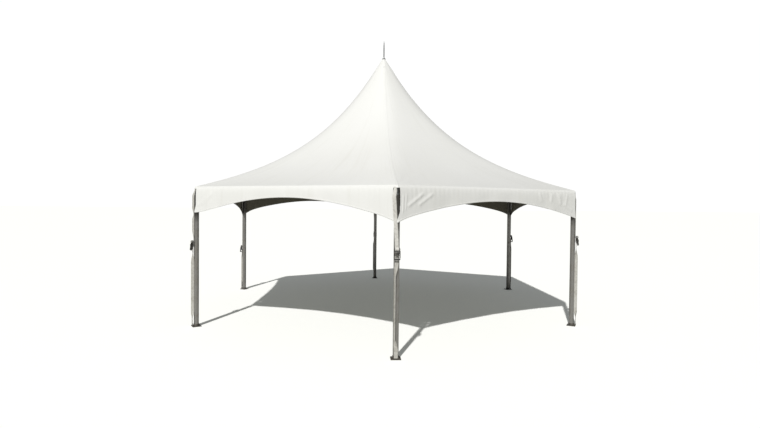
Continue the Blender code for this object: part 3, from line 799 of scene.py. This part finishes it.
# The folds that the photo shows on the front right valance, near its front end and near its right end. Each
# runs from one point to another, in metres from the corner and in height, and has a width and a depth.
FRONT_END_FOLDS = (
    ((0.17, 1.96), (0.39, 2.11), 0.018, 0.009),
    ((0.35, 1.98), (0.55, 2.11), 0.018, 0.008),
    ((0.080, 1.88), (0.085, 2.08), 0.011, 0.005),
    ((0.125, 1.92), (0.135, 2.10), 0.011, 0.004),
)
RIGHT_END_FOLDS = (
    ((0.12, 1.89), (0.31, 1.99), 0.020, 0.006),
    ((0.26, 2.00), (0.24, 2.13), 0.022, 0.006),
    ((0.40, 2.01), (0.43, 2.14), 0.030, 0.008),
    ((0.62, 2.05), (0.60, 2.14), 0.028, 0.007),
    ((0.84, 2.05), (0.88, 2.14), 0.030, 0.006),
)


def valance_bottom(side, y):
    share = (y + HALF_SIDE) / (2 * HALF_SIDE)
    rise = VALANCE_CORNER_DROP - VALANCE_CROWN_DROP + HIGHER_CROWN.get(SIDES[side], 0)
    tip = TIP_DROP.get(end_corner(side, y), USUAL_TIP_DROP) * math.exp((abs(y) - HALF_SIDE) / TIP_WIDTH)
    return EAVE_HEIGHT - VALANCE_CORNER_DROP - tip + rise * math.sin(math.pi * min(max(share, 0), 1))


def end_corner(side, end):
    """The corner at the +y end (1) or the -y end (-1) of a side."""
    return CORNERS[side if end > 0 else (side + 1) % 6]


def slot_edge(side, end, v):
    top, tip = SLOT_EDGE.get((SIDES[side], end_corner(side, end)), USUAL_SLOT_EDGE)
    return top + (tip - top) * ease((v - SLOT_TURN) / (1 - SLOT_TURN))


def fold_lift(at, folds):
    """How far straight folds push the cloth out, at a point of (distance from the corner, height)."""
    lift = 0.0
    for start, end, width, height in folds:
        start, run = Vector(start), Vector(end) - Vector(start)
        share = min(max((at - start).dot(run) / run.length_squared, 0), 1)
        lift += height * bell((at - start - run * share).length, width)
    return lift


def usual_folds(side, end):
    """Small folds that fan out from a tip, different at every end."""
    folds = []
    for number in range(3):
        seed = noise.noise(Vector((side * 3.1, end * 2.3, number * 1.7)))
        start = (0.10 + 0.09 * number + 0.04 * seed, 1.93 + 0.015 * number)
        reach = (0.16 + 0.10 * seed, 0.13 + 0.02 * number)
        folds.append((start, (start[0] + reach[0], start[1] + reach[1]), 0.020, 0.0035 + 0.003 * seed))
    return folds


FOLDS = {(side, end): usual_folds(side, end) for side in range(6) for end in (-1, 1)}
FOLDS[(SIDES.index("front_right"), -1)] = FRONT_END_FOLDS
FOLDS[(SIDES.index("front_right"), 1)] = RIGHT_END_FOLDS
FOLDS[(SIDES.index("front_left"), 1)] = ()


def valance_point(side, u, v):
    """A point of a valance's outer face: u runs along the side, v from its top to its bottom edge."""
    level = math.sin(math.pi / 2 * min(max(2 * u - 1, -1), 1))
    end = 1 if level > 0 else -1
    from_edge = HALF_SIDE * (1 - abs(level)) + slot_edge(side, end, v) * abs(level) ** 8
    y = HALF_SIDE - from_edge
    z = VALANCE_TOP + (valance_bottom(side, y * end) - VALANCE_TOP) * v
    near = 1.0 if from_edge < 0.03 else ease(1 - (from_edge - 0.03) / 0.22)
    around = fabric_reach(ROLL_FOOT - z) + (TIP_BULGE - FLARE) * ease((2.12 - z) / 0.12) * near
    settled = ease(v * 4)
    away = ease((from_edge - 0.05) / 0.25)
    seed = side * 7.3 + end
    flute = math.sin(y * end * 9.0 + seed) + 0.6 * math.sin(y * end * 17.0 + seed * 2.1)
    slack = -WAVE_DEPTH * ease(v) * (1 + flute) * away
    pucker = math.sin(y * end * PUCKER_PHASE + 3 * noise.noise(Vector((y * end * 3, seed, 0))))
    slack += PUCKER_DEPTH * pucker * math.exp(-v * 3.0) * ease(v * 8) * away
    lift = slack + fold_lift(Vector((from_edge, z)), FOLDS[(side, end)]) * settled
    if from_edge >= WRAP_START:
        return side_frame(side) @ Vector((APOTHEM + around + lift, end * y, z))
    turn = (WRAP_START - from_edge) / around
    reach = around + lift
    axis_y = HALF_SIDE - WRAP_START
    return side_frame(side) @ Vector(
        (APOTHEM + reach * math.cos(turn), end * (axis_y + reach * math.sin(turn)), z)
    )


def hem_share(side, u, width):
    """How far down the valance its hem starts, as a share."""
    y = HALF_SIDE * math.sin(math.pi / 2 * (2 * u - 1))
    return 1 - width / (VALANCE_TOP - valance_bottom(side, y))


def stitch_shares():
    """Shares along a valance at which its stitches lie."""
    count = int((2 * HALF_SIDE - 0.14) / STITCH_SPACING)
    levels = [(2 * number / count - 1) * 0.96 for number in range(count + 1)]
    return [0.5 + math.asin(level) / math.pi for level in levels]


def make_valances(outer, inner, white_thread):
    """One skirt below each eave, with its hem and the hem's stitches. Gives the skirts with their pieces."""
    made = []
    for side, name in enumerate(SIDES):

        def point(u, v, side=side):
            return valance_point(side, u, v)

        def hem_point(u, v, point=point, side=side):
            start = hem_share(side, u, HEM_WIDTH)
            return over_cloth(point, u, start + (1 - start) * v, HEM_CLOTH)

        bm = cloth(SKIRT_COLUMNS, 24, point, (2 * HALF_SIDE, 0.42))
        bmesh.ops.reverse_faces(bm, faces=bm.faces)
        skirt = cloth_piece(f"valance_skirt_{name}", bm, [outer, inner], FABRIC)
        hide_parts(f"valance_{name}")
        bm = cloth(SKIRT_COLUMNS, 3, hem_point, (2 * HALF_SIDE, HEM_WIDTH))
        bmesh.ops.reverse_faces(bm, faces=bm.faces)
        hem = cloth_piece(f"valance_hem_{name}", bm, [outer], HEM_CLOTH)
        places = [
            over_cloth(point, u, hem_share(side, u, HEM_WIDTH - 0.004), 0.0008) for u in stitch_shares()
        ]
        bm = bmesh.new()
        for here, after in zip(places, places[1:]):
            stitch(bm, here, after - here, side_frame(side).to_3x3() @ OUT)
        bmesh.ops.recalc_face_normals(bm, faces=bm.faces)
        seam = finish_piece(f"valance_stitches_{name}", bm, [white_thread])
        made.append((skirt, [hem, seam]))
    return made


# Webbing

# How far each corner's webbing is shifted to the side, in metres, and twisted, in degrees, as the photo shows
# it: first the upper webbing, then the lower one
RUNS = {
    "front": ((-0.040, 0), (-0.024, 68)),
    "left_front": ((0.004, -24), (0.002, -66)),
    "left_back": ((-0.003, 0), (-0.004, 52)),
    "back": ((0.034, 0), (0.030, -24)),
    "right_back": ((-0.004, 0), (-0.002, -46)),
    "right_front": ((0.003, 0), (0.003, 72)),
}
WOUND_RADIUS = 0.0235
WOUND_TURNS = 2.5
BOLT_LOOP = 0.0069
SPOOL_RADIUS = 0.0178
KEEPER_LOOP = 0.0065
LAP = 0.085
LAP_LIFT = 0.0025


def web_point(station, across):
    """A point of the webbing's middle layer, so many metres across from its centre line. A station of that
    line is its distance out from the leg's axis, its height, its shift to the side, its twist, and how much
    the webbing's width curls round the leg."""
    out, height, shift, twist, curl = station
    side = across
    if curl > 0.01:
        curve = out / curl
        out += curve * math.cos(across / curve) - curve
        side = curve * math.sin(across / curve)
    return Vector((out + side * math.sin(twist), shift + side * math.cos(twist), height))


def run(stations, steps):
    """A straight run through key stations, with the twist and curl easing between them."""
    made = [stations[0]]
    for first, last in zip(stations, stations[1:]):
        for step in range(1, steps + 1):
            share = step / steps
            shares = (share, share, share, ease(share), ease(share))
            made.append(tuple(a + (b - a) * s for a, b, s in zip(first, last, shares)))
    return made


def bend(centre, radius, first, last, steps):
    """Flat webbing round a bar across it, from one angle to another, with a radius that may change."""
    made = []
    for step in range(steps + 1):
        share = step / steps
        angle = math.radians(first + (last - first) * share)
        reach = radius[0] + (radius[1] - radius[0]) * share
        made.append((centre[0] + reach * math.cos(angle), centre[1] + reach * math.sin(angle), 0, 0, 0))
    return made


def webbing(stations):
    """Flat webbing along its stations, with a map in metres."""
    rows = len(stations) - 1
    lengths = [0.0]
    for before, after in zip(stations, stations[1:]):
        lengths.append(lengths[-1] + (web_point(after, 0) - web_point(before, 0)).length)

    def point(u, v):
        return web_point(stations[round(v * rows)], (u - 0.5) * WEB_WIDTH)

    bm = cloth(6, rows, point, (WEB_WIDTH, 1))
    metres = bm.loops.layers.uv.active
    for face in bm.faces:
        for loop in face.loops:
            loop[metres].uv.y = lengths[round(loop[metres].uv.y * rows)]
    return bm


def upper_stations(corner):
    """From under the canopy's corner down the leg's face, then wound on the ratchet's spool."""
    axle = AXLE_HEIGHTS[corner]
    shift, twist = RUNS[corner][0]
    twist = math.radians(twist)
    on_post, on_leg = 0.0266, LEG_RADIUS + 0.0028
    off_leg = on_leg + WEB_WIDTH / 2 * abs(math.sin(twist))
    heights = (1.89, 1.79, 1.70, axle + 0.19)
    left_over = [(height - axle - 0.05) / (LEG_TOP - 0.02 - axle - 0.05) for height in heights]
    down = run(
        [
            (on_post, 2.197, shift * 0.5, 0, 1),
            (on_post, 2.185, shift * 0.5, 0, 1),
            (off_leg, LEG_TOP - 0.020, shift, twist, 0),
            (off_leg, 1.89, shift * left_over[0], twist, 0),
            (on_leg, 1.79, shift * left_over[1], 0, 0),
            (off_leg, 1.70, shift * left_over[2], twist, 0),
            (off_leg, axle + 0.19, shift * left_over[3], twist, 0),
            (AXLE_X - WOUND_RADIUS, axle + 0.05, 0, 0, 0),
        ],
        10,
    )
    turns = 360 * WOUND_TURNS
    wound = bend((AXLE_X, axle), (WOUND_RADIUS, SPOOL_RADIUS), 180, 180 + turns, 70)
    return down + wound


def lower_stations(corner):
    """Sewn round the ratchet's bolt, down to the foot plate, round its bar and back up on itself."""
    bolt = AXLE_HEIGHTS[corner] - BOLT_BELOW
    back = BOLT_X - BOLT_LOOP
    front = KEEPER_X + KEEPER_LOOP
    out = (back + front) / 2
    shift, twist = RUNS[corner][1]
    twist = math.radians(twist)
    length = bolt - KEEPER_Z - 2 * LAP
    lap_up = run([(back + LAP_LIFT, bolt - LAP, 0, 0, 0), (back + LAP_LIFT, bolt - 0.030, 0, 0, 0)], 6)
    over_bolt = bend((BOLT_X, bolt), (BOLT_LOOP, BOLT_LOOP), -15, 180, 14)
    down = run(
        [
            (back, bolt - 0.004, 0, 0, 0),
            (back, bolt - LAP - 0.02, 0, 0, 0),
            (out, KEEPER_Z + LAP + length * 0.84, shift, twist, 0),
            (out, KEEPER_Z + LAP + length * 0.14, shift, twist, 0),
            (front, KEEPER_Z + LAP + 0.02, 0, 0, 0),
            (front, KEEPER_Z + 0.002, 0, 0, 0),
        ],
        14,
    )
    under_bar = bend((KEEPER_X, KEEPER_Z), (KEEPER_LOOP, KEEPER_LOOP), 0, -180, 14)
    lap_end = run(
        [
            (KEEPER_X - KEEPER_LOOP, KEEPER_Z + 0.004, 0, 0, 0),
            (front - LAP_LIFT, KEEPER_Z + 0.035, 0, 0, 0),
            (front - LAP_LIFT, KEEPER_Z + LAP, 0, 0, 0),
        ],
        6,
    )
    return lap_up + over_bolt + down + under_bar + lap_end


def make_webbing(pale, newer):
    for index, corner in enumerate(CORNERS):
        for stem, stations in (("upper", upper_stations(corner)), ("lower", lower_stations(corner))):
            bm = webbing(stations)
            bmesh.ops.transform(bm, matrix=corner_frame(index), verts=bm.verts)
            cloth_finish = newer if (stem, corner) == ("upper", "front") else pale
            name = f"{stem}_webbing_{corner}"
            piece = cloth_piece(name, bm, [cloth_finish], WEB_THICKNESS, 0)
            if stem == "upper":
                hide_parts(f"corner_strap_{corner}")


def make_lap_stitches(white_thread):
    """Rows of stitches through both laps of each lower webbing."""
    for index, corner in enumerate(CORNERS):
        bm = bmesh.new()
        laps = (
            (BOLT_X - BOLT_LOOP + LAP_LIFT, AXLE_HEIGHTS[corner] - BOLT_BELOW - LAP + 0.004),
            (KEEPER_X + KEEPER_LOOP, KEEPER_Z + 0.040),
        )
        for middle, low in laps:
            face = middle + WEB_THICKNESS / 2 + 0.0002
            for row in range(5):
                slant = LEVEL + UP * (0.8 if row % 2 else -0.8)
                for place in range(-3, 4):
                    stitch(bm, (face, place * 0.0062, low + row * 0.010), slant, OUT)
            for edge in (-0.0215, 0.0215):
                for place in range(7):
                    stitch(bm, (face, edge, low + place * 0.0066), UP, OUT)
        add_corner_piece("lap_stitches", bm, index, (white_thread, "pale_webbing"))


# Ratchets

# How far the outer faces of the frame's plates and of the handle's arms are from the ratchet's middle
PLATE_FACE = 0.0305
ARM_FACE = 0.0394
WHEEL_TEETH = 13
WHEEL_RADIUS = 0.0175


def ratchet_wheels(bm):
    """Two toothed wheels on the axle, between the frame's plates and the handle's arms."""
    outline = []
    for tooth in range(WHEEL_TEETH):
        for turn, radius in ((0, WHEEL_RADIUS), (0.12, WHEEL_RADIUS), (0.86, WHEEL_RADIUS - 0.0034)):
            angle = math.tau * (tooth + turn) / WHEEL_TEETH
            outline.append((radius * math.cos(angle), radius * math.sin(angle)))
    for low in (-0.0350, 0.0320):
        plate(bm, outline, low, low + 0.003)
        bar(bm, (0, low - 0.0008, 0), (0, low + 0.0038, 0), 0.0095)


def ratchet_locks(bm):
    """The frame's sliding lock, its spring and guide, and the nuts and washers on the axle and the bolt."""
    bolt = (BOLT_X - AXLE_X, 0, -BOLT_BELOW)
    for side in (-1, 1):
        block(bm, (-0.001, side * 0.0315, -0.034), (0.0015, side * 0.0355, -0.0178), 0.0004)
        face = side * (ARM_FACE + 0.0002)
        bar(bm, (0, face, 0), (0, face + side * 0.0014, 0), 0.0095, 20, 0.0003)
        ring(bm, (0, face + side * 0.0022, 0), LEVEL, 0.0066, 0.0007)
        face = side * (PLATE_FACE + 0.0001)
        bar(bm, (0, face, 0), (0, face + side * 0.0040, 0), 0.0090, 6, 0.0005, bolt)
    block(bm, (-0.001, -0.0355, -0.044), (0.0015, 0.0355, -0.034), 0.0004)
    block(bm, (-0.004, -0.0274, -0.064), (0.004, 0.0274, -0.0615), 0.0004)
    for coil in range(9):
        ring(bm, (0.0003, 0, -0.0605 + coil * 0.002), UP, 0.0034, 0.0005, 12, 5)


def ratchet_lips(bm):
    """Folded lips along the outer edges of the frame's plates, and the rivets of the lock's guide."""
    for side in (-1, 1):
        face = side * PLATE_FACE
        for height in (-0.0628, -0.039):
            bar(bm, (0, face, height), (0, face + side * 0.0012, height), 0.0028)
        block(bm, (0.0145, face, -0.056), (0.0170, face - side * 0.0075, -0.030), 0.0005)


def handle_levers(bm):
    """The handle's release lever with its tabs and spring rod, and the folded rims of its arms."""
    block(bm, (0.0165, -0.0362, -0.060), (0.0190, 0.0362, -0.040), 0.0008)
    block(bm, (0.0165, -0.0240, -0.076), (0.0185, 0.0240, -0.058), 0.0008)
    for side in (-1, 1):
        face = side * (ARM_FACE + 0.0002)
        block(bm, (0.004, side * 0.0340, -0.058), (0.018, side * 0.0364, -0.042), 0.0005)
        bar(bm, (0.006, face, -0.050), (0.006, face + side * 0.0016, -0.050), 0.0036, 14, 0.0004)
        block(bm, (0.0085, side * 0.0366, -0.118), (0.0102, side * 0.0440, -0.022), 0.0005)
    lean = math.atan2(GRIP.x, -GRIP.z)
    bmesh.ops.transform(bm, matrix=Matrix.Rotation(-lean, 4, "Y"), verts=bm.verts)


def handle_grip(bm):
    """A ribbed sleeve over the grip bar."""
    bar(bm, (0, -0.0345, 0), (0, 0.0345, 0), 0.0084, 20, 0.0006, GRIP)
    for number in range(-6, 7):
        middle = number * 0.0048
        bar(bm, (0, middle - 0.0013, 0), (0, middle + 0.0013, 0), 0.0093, 20, 0.0005, GRIP)


def handle_rivets(bm):
    for side in (-1, 1):
        face = side * ARM_FACE
        bar(bm, (0, face, 0), (0, face + side * 0.0022, 0), 0.0058, 16, 0.0007, GRIP)


# Pins, welds and feet

LEG_WALL = 0.0032
LEG_EDGE = 0.0006
LEG_PIN_BELOW = 0.045
PIN_RADIUS = 0.005
BEAM_PIN_OUT = 0.175


def make_legs(finish):
    """Each leg as a smooth round tube with clean cut ends, where its many-sided solid is."""
    bore = LEG_RADIUS - LEG_WALL
    for corner in CORNERS:
        foot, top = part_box(f"leg_{corner}")
        axis = (foot + top) / 2
        profile = [
            (LEG_RADIUS, foot.z + LEG_EDGE),
            (LEG_RADIUS, top.z - LEG_EDGE),
            (LEG_RADIUS - LEG_EDGE, top.z),
            (bore, top.z),
            (bore, foot.z),
            (LEG_RADIUS - LEG_EDGE, foot.z),
        ]
        bm = bmesh.new()
        lathe(bm, profile, 72)
        bmesh.ops.translate(bm, vec=(axis.x, axis.y, 0), verts=bm.verts)
        bmesh.ops.recalc_face_normals(bm, faces=bm.faces)
        piece = finish_piece(f"leg_tube_{corner}", bm, [finish])
        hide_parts(f"leg_{corner}")


def pin(bm, start, end, radius):
    """A lock pin with a domed head at its start, and a split ring through its end."""
    start, end = Vector(start), Vector(end)
    along = (end - start).normalized()
    bar(bm, start, end, radius, 16, radius * 0.2)
    bar(bm, along * radius * -0.7, along * radius * 0.4, radius * 1.7, 16, radius * 0.3, start)
    ring(bm, end - along * radius - UP * radius * 1.7, UP.cross(along), radius * 1.7, radius * 0.3)


def lock_pins(bm):
    """Pins through the leg's top and through both eave beams at a corner."""
    height = LEG_TOP - LEG_PIN_BELOW
    pin(bm, (0, -LEG_RADIUS - 0.004, height), (0, LEG_RADIUS + 0.010, height), PIN_RADIUS)
    for side in (-1, 1):
        along = Matrix.Rotation(side * math.radians(120), 4, "Z") @ OUT
        across = UP.cross(along) * side
        middle = along * BEAM_PIN_OUT + UP * BEAM_HEIGHT
        start = middle + across * (BEAM_RADIUS + 0.0060)
        bar(bm, start, middle - across * (BEAM_RADIUS + 0.0008), PIN_RADIUS, 16, 0.0006)
        ring(bm, start - UP * 0.010, along, 0.011, 0.0015)
        bar(bm, start, start - across * 0.0056, 0.0085, 16, 0.001)


def fitting_welds(bm):
    """Weld beads round the fitting's post, and along both faces of its lug for the cable."""
    ring(bm, (0, 0, LEG_TOP + 0.0103), UP, BEAM_RADIUS + 0.0012, 0.0030, 28)
    for side in (-1, 1):
        low = (-0.052, side * 0.0042, EYE_HEIGHT - 0.0165)
        block(bm, low, (-0.024, side * 0.0075, EYE_HEIGHT - 0.0135), 0.001)


def foot_welds(bm):
    """A short socket round the leg's foot, and weld beads on it, on the ears and at the keeper bar's ends."""
    socket = [
        (LEG_RADIUS + 0.0004, 0.0081),
        (LEG_RADIUS + 0.0056, 0.0081),
        (LEG_RADIUS + 0.0056, 0.0400),
        (LEG_RADIUS + 0.0046, 0.0412),
        (LEG_RADIUS + 0.0004, 0.0412),
    ]
    lathe(bm, socket, 40)
    ring(bm, (0, 0, 0.0085), UP, LEG_RADIUS + 0.0064, 0.0026, 32)
    for side in (-1, 1):
        for y in (side * 0.0276, side * 0.0344):
            bar(bm, (KEEPER_X - 0.006, y, 0.0082), (0.0655, y, 0.0082), 0.0018, 8)
        bar(bm, (0, side * 0.0334, 0), (0, side * 0.0352, 0), 0.0072, 14, 0.0008, (KEEPER_X, 0, KEEPER_Z))


def anchor_bolts(bm):
    """Two hexagon bolts with washers through the inner corners of the foot plate."""
    for side in (-1, 1):
        spot = (-0.050, side * 0.050, 0.008)
        bar(bm, (0, 0, 0), (0, 0, 0.0016), 0.0105, 20, 0.0003, spot)
        bar(bm, (0, 0, 0.0016), (0, 0, 0.0086), 0.0082, 6, 0.0008, spot)


# Cables, hub and mast

CABLE_START = (-0.1099, 0, EYE_HEIGHT)
HUB_HEIGHT = 1.985
HUB_RADIUS = 0.085
TURNBUCKLE = (0.32, 0.15)


def cable_fittings(bm):
    """Crimps on the ferrule, lock nuts and threaded ends on the turnbuckle, and the clevis at the hub."""
    start = Vector(CABLE_START)
    inward = Vector((-LEG_CIRCLE + HUB_RADIUS - 0.01, 0, HUB_HEIGHT)) - start
    far, near = (inward.length - from_hub for from_hub in TURNBUCKLE)
    inward.normalize()
    for place in (0.014, 0.032, 0.050, 0.068):
        bar(bm, inward * (place - 0.004), inward * (place + 0.004), 0.0092, 18, 0.0008, start)
    for place, away in ((far, -inward), (near, inward)):
        end = start + inward * place
        bar(bm, away * -0.004, away * 0.010, 0.0138, 6, 0.0008, end)
        bar(bm, (0, 0, 0), away * 0.050, 0.0056, 14, at=end)
        for turn in range(16):
            ring(bm, away * (0.013 + turn * 0.0023), inward, 0.0056, 0.0006, 14, 4, end)
    for share in (0.3, 0.5, 0.7):
        place = far + (near - far) * share
        bar(bm, inward * (place - 0.012), inward * (place + 0.012), 0.0128, 18, 0.001, start)
    clevis = (-LEG_CIRCLE + HUB_RADIUS + 0.004, 0, HUB_HEIGHT + 0.0005)
    for level in (-0.0105, 0.0105):
        block(bm, (-0.026, -0.009, level - 0.0022), (0.012, 0.009, level + 0.0022), 0.001, clevis)
    block(bm, (0.006, -0.009, -0.0125), (0.020, 0.009, 0.0125), 0.002, clevis)
    bar(bm, (-0.016, 0, -0.019), (-0.016, 0, 0.019), 0.0045, at=clevis)
    for level in (-0.0185, 0.0127):
        bar(bm, (-0.016, 0, level), (-0.016, 0, level + 0.0058), 0.0078, 6, 0.0006, clevis)


def make_mast_pins(galvanised):
    """A pin through the cup and the mast's foot, and one through the mast head's sleeve."""
    bm = bmesh.new()
    foot = HUB_HEIGHT + 0.042
    pin(bm, (0, -0.036, foot), (0, 0.042, foot), PIN_RADIUS)
    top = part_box("mast_head")[0].z + 0.045
    pin(bm, (-0.036, 0, top), (0.042, 0, top), PIN_RADIUS)
    ring(bm, (0, 0, HUB_HEIGHT + 0.0065), UP, 0.0320, 0.0028, 32)
    bmesh.ops.recalc_face_normals(bm, faces=bm.faces)
    finish_piece("mast_pins", bm, [galvanised])


# The solids that stay


def refinish_solids(aluminium, galvanised, painted_shade_zinc, dark, ratchet, wire):
    # The corner fittings take the darker copy of the zinc, which is painted shade
    kinds = {"foot_plate": dark, "corner_fitting": painted_shade_zinc, "ratchet": ratchet, "ratchet_handle": ratchet}
    finishes = {"mast": aluminium, "mast_head": galvanised, "finial": galvanised, "cross_cables": wire}
    finishes |= {f"{kind}_{corner}": finish for kind, finish in kinds.items() for corner in CORNERS}
    finishes |= {f"eave_beam_{side}": aluminium for side in SIDES}
    for node, finish in finishes.items():
        materials = bpy.data.objects[node].data.materials
        materials.clear()
        materials.append(finish)


def main():
    set_camera()
    set_light()
    set_floor()
    outer, inner = outer_vinyl(), inner_vinyl()
    aluminium, galvanised = mill_aluminium(), galvanised_steel()
    # A darker copy of the zinc for the corner fittings: painted shade
    painted_shade_zinc = galvanised_steel("painted_shade_galvanised", FITTING_PAINTED_SHADE)
    dark, ratchet, wire = dark_steel(), ratchet_steel(), wire_rope()
    grip, white_thread = black_rubber(), thread()
    pale = webbing_cloth("pale_webbing", (0.60, 0.595, 0.56), (0.44, 0.435, 0.405))
    newer = webbing_cloth("newer_webbing", (0.80, 0.795, 0.765), (0.60, 0.595, 0.56))
    canopy = make_canopy(outer, inner)
    strips = make_roof_strips(outer)
    for valance, trimmings in make_valances(outer, inner, white_thread):
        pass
    make_webbing(pale, newer)
    make_lap_stitches(white_thread)
    zinc, black = (galvanised, "galvanised_steel"), (ratchet, "ratchet_steel")
    at_each_corner(ratchet_wheels, zinc, "ratchet")
    at_each_corner(ratchet_locks, zinc, "ratchet")
    at_each_corner(ratchet_lips, black, "ratchet")
    at_each_corner(handle_levers, black, "handle")
    at_each_corner(handle_rivets, zinc, "handle")
    at_each_corner(handle_grip, (grip, "ratchet_steel"), "handle")
    make_legs(mill_aluminium("leg_aluminium", PAINTED_SHADE_ABOVE))
    at_each_corner(lock_pins, zinc)
    at_each_corner(fitting_welds, zinc)
    at_each_corner(foot_welds, (dark, "dark_steel"))
    at_each_corner(anchor_bolts, zinc)
    at_each_corner(cable_fittings, zinc)
    make_mast_pins(galvanised)
    refinish_solids(aluminium, galvanised, painted_shade_zinc, dark, ratchet, wire)


main()
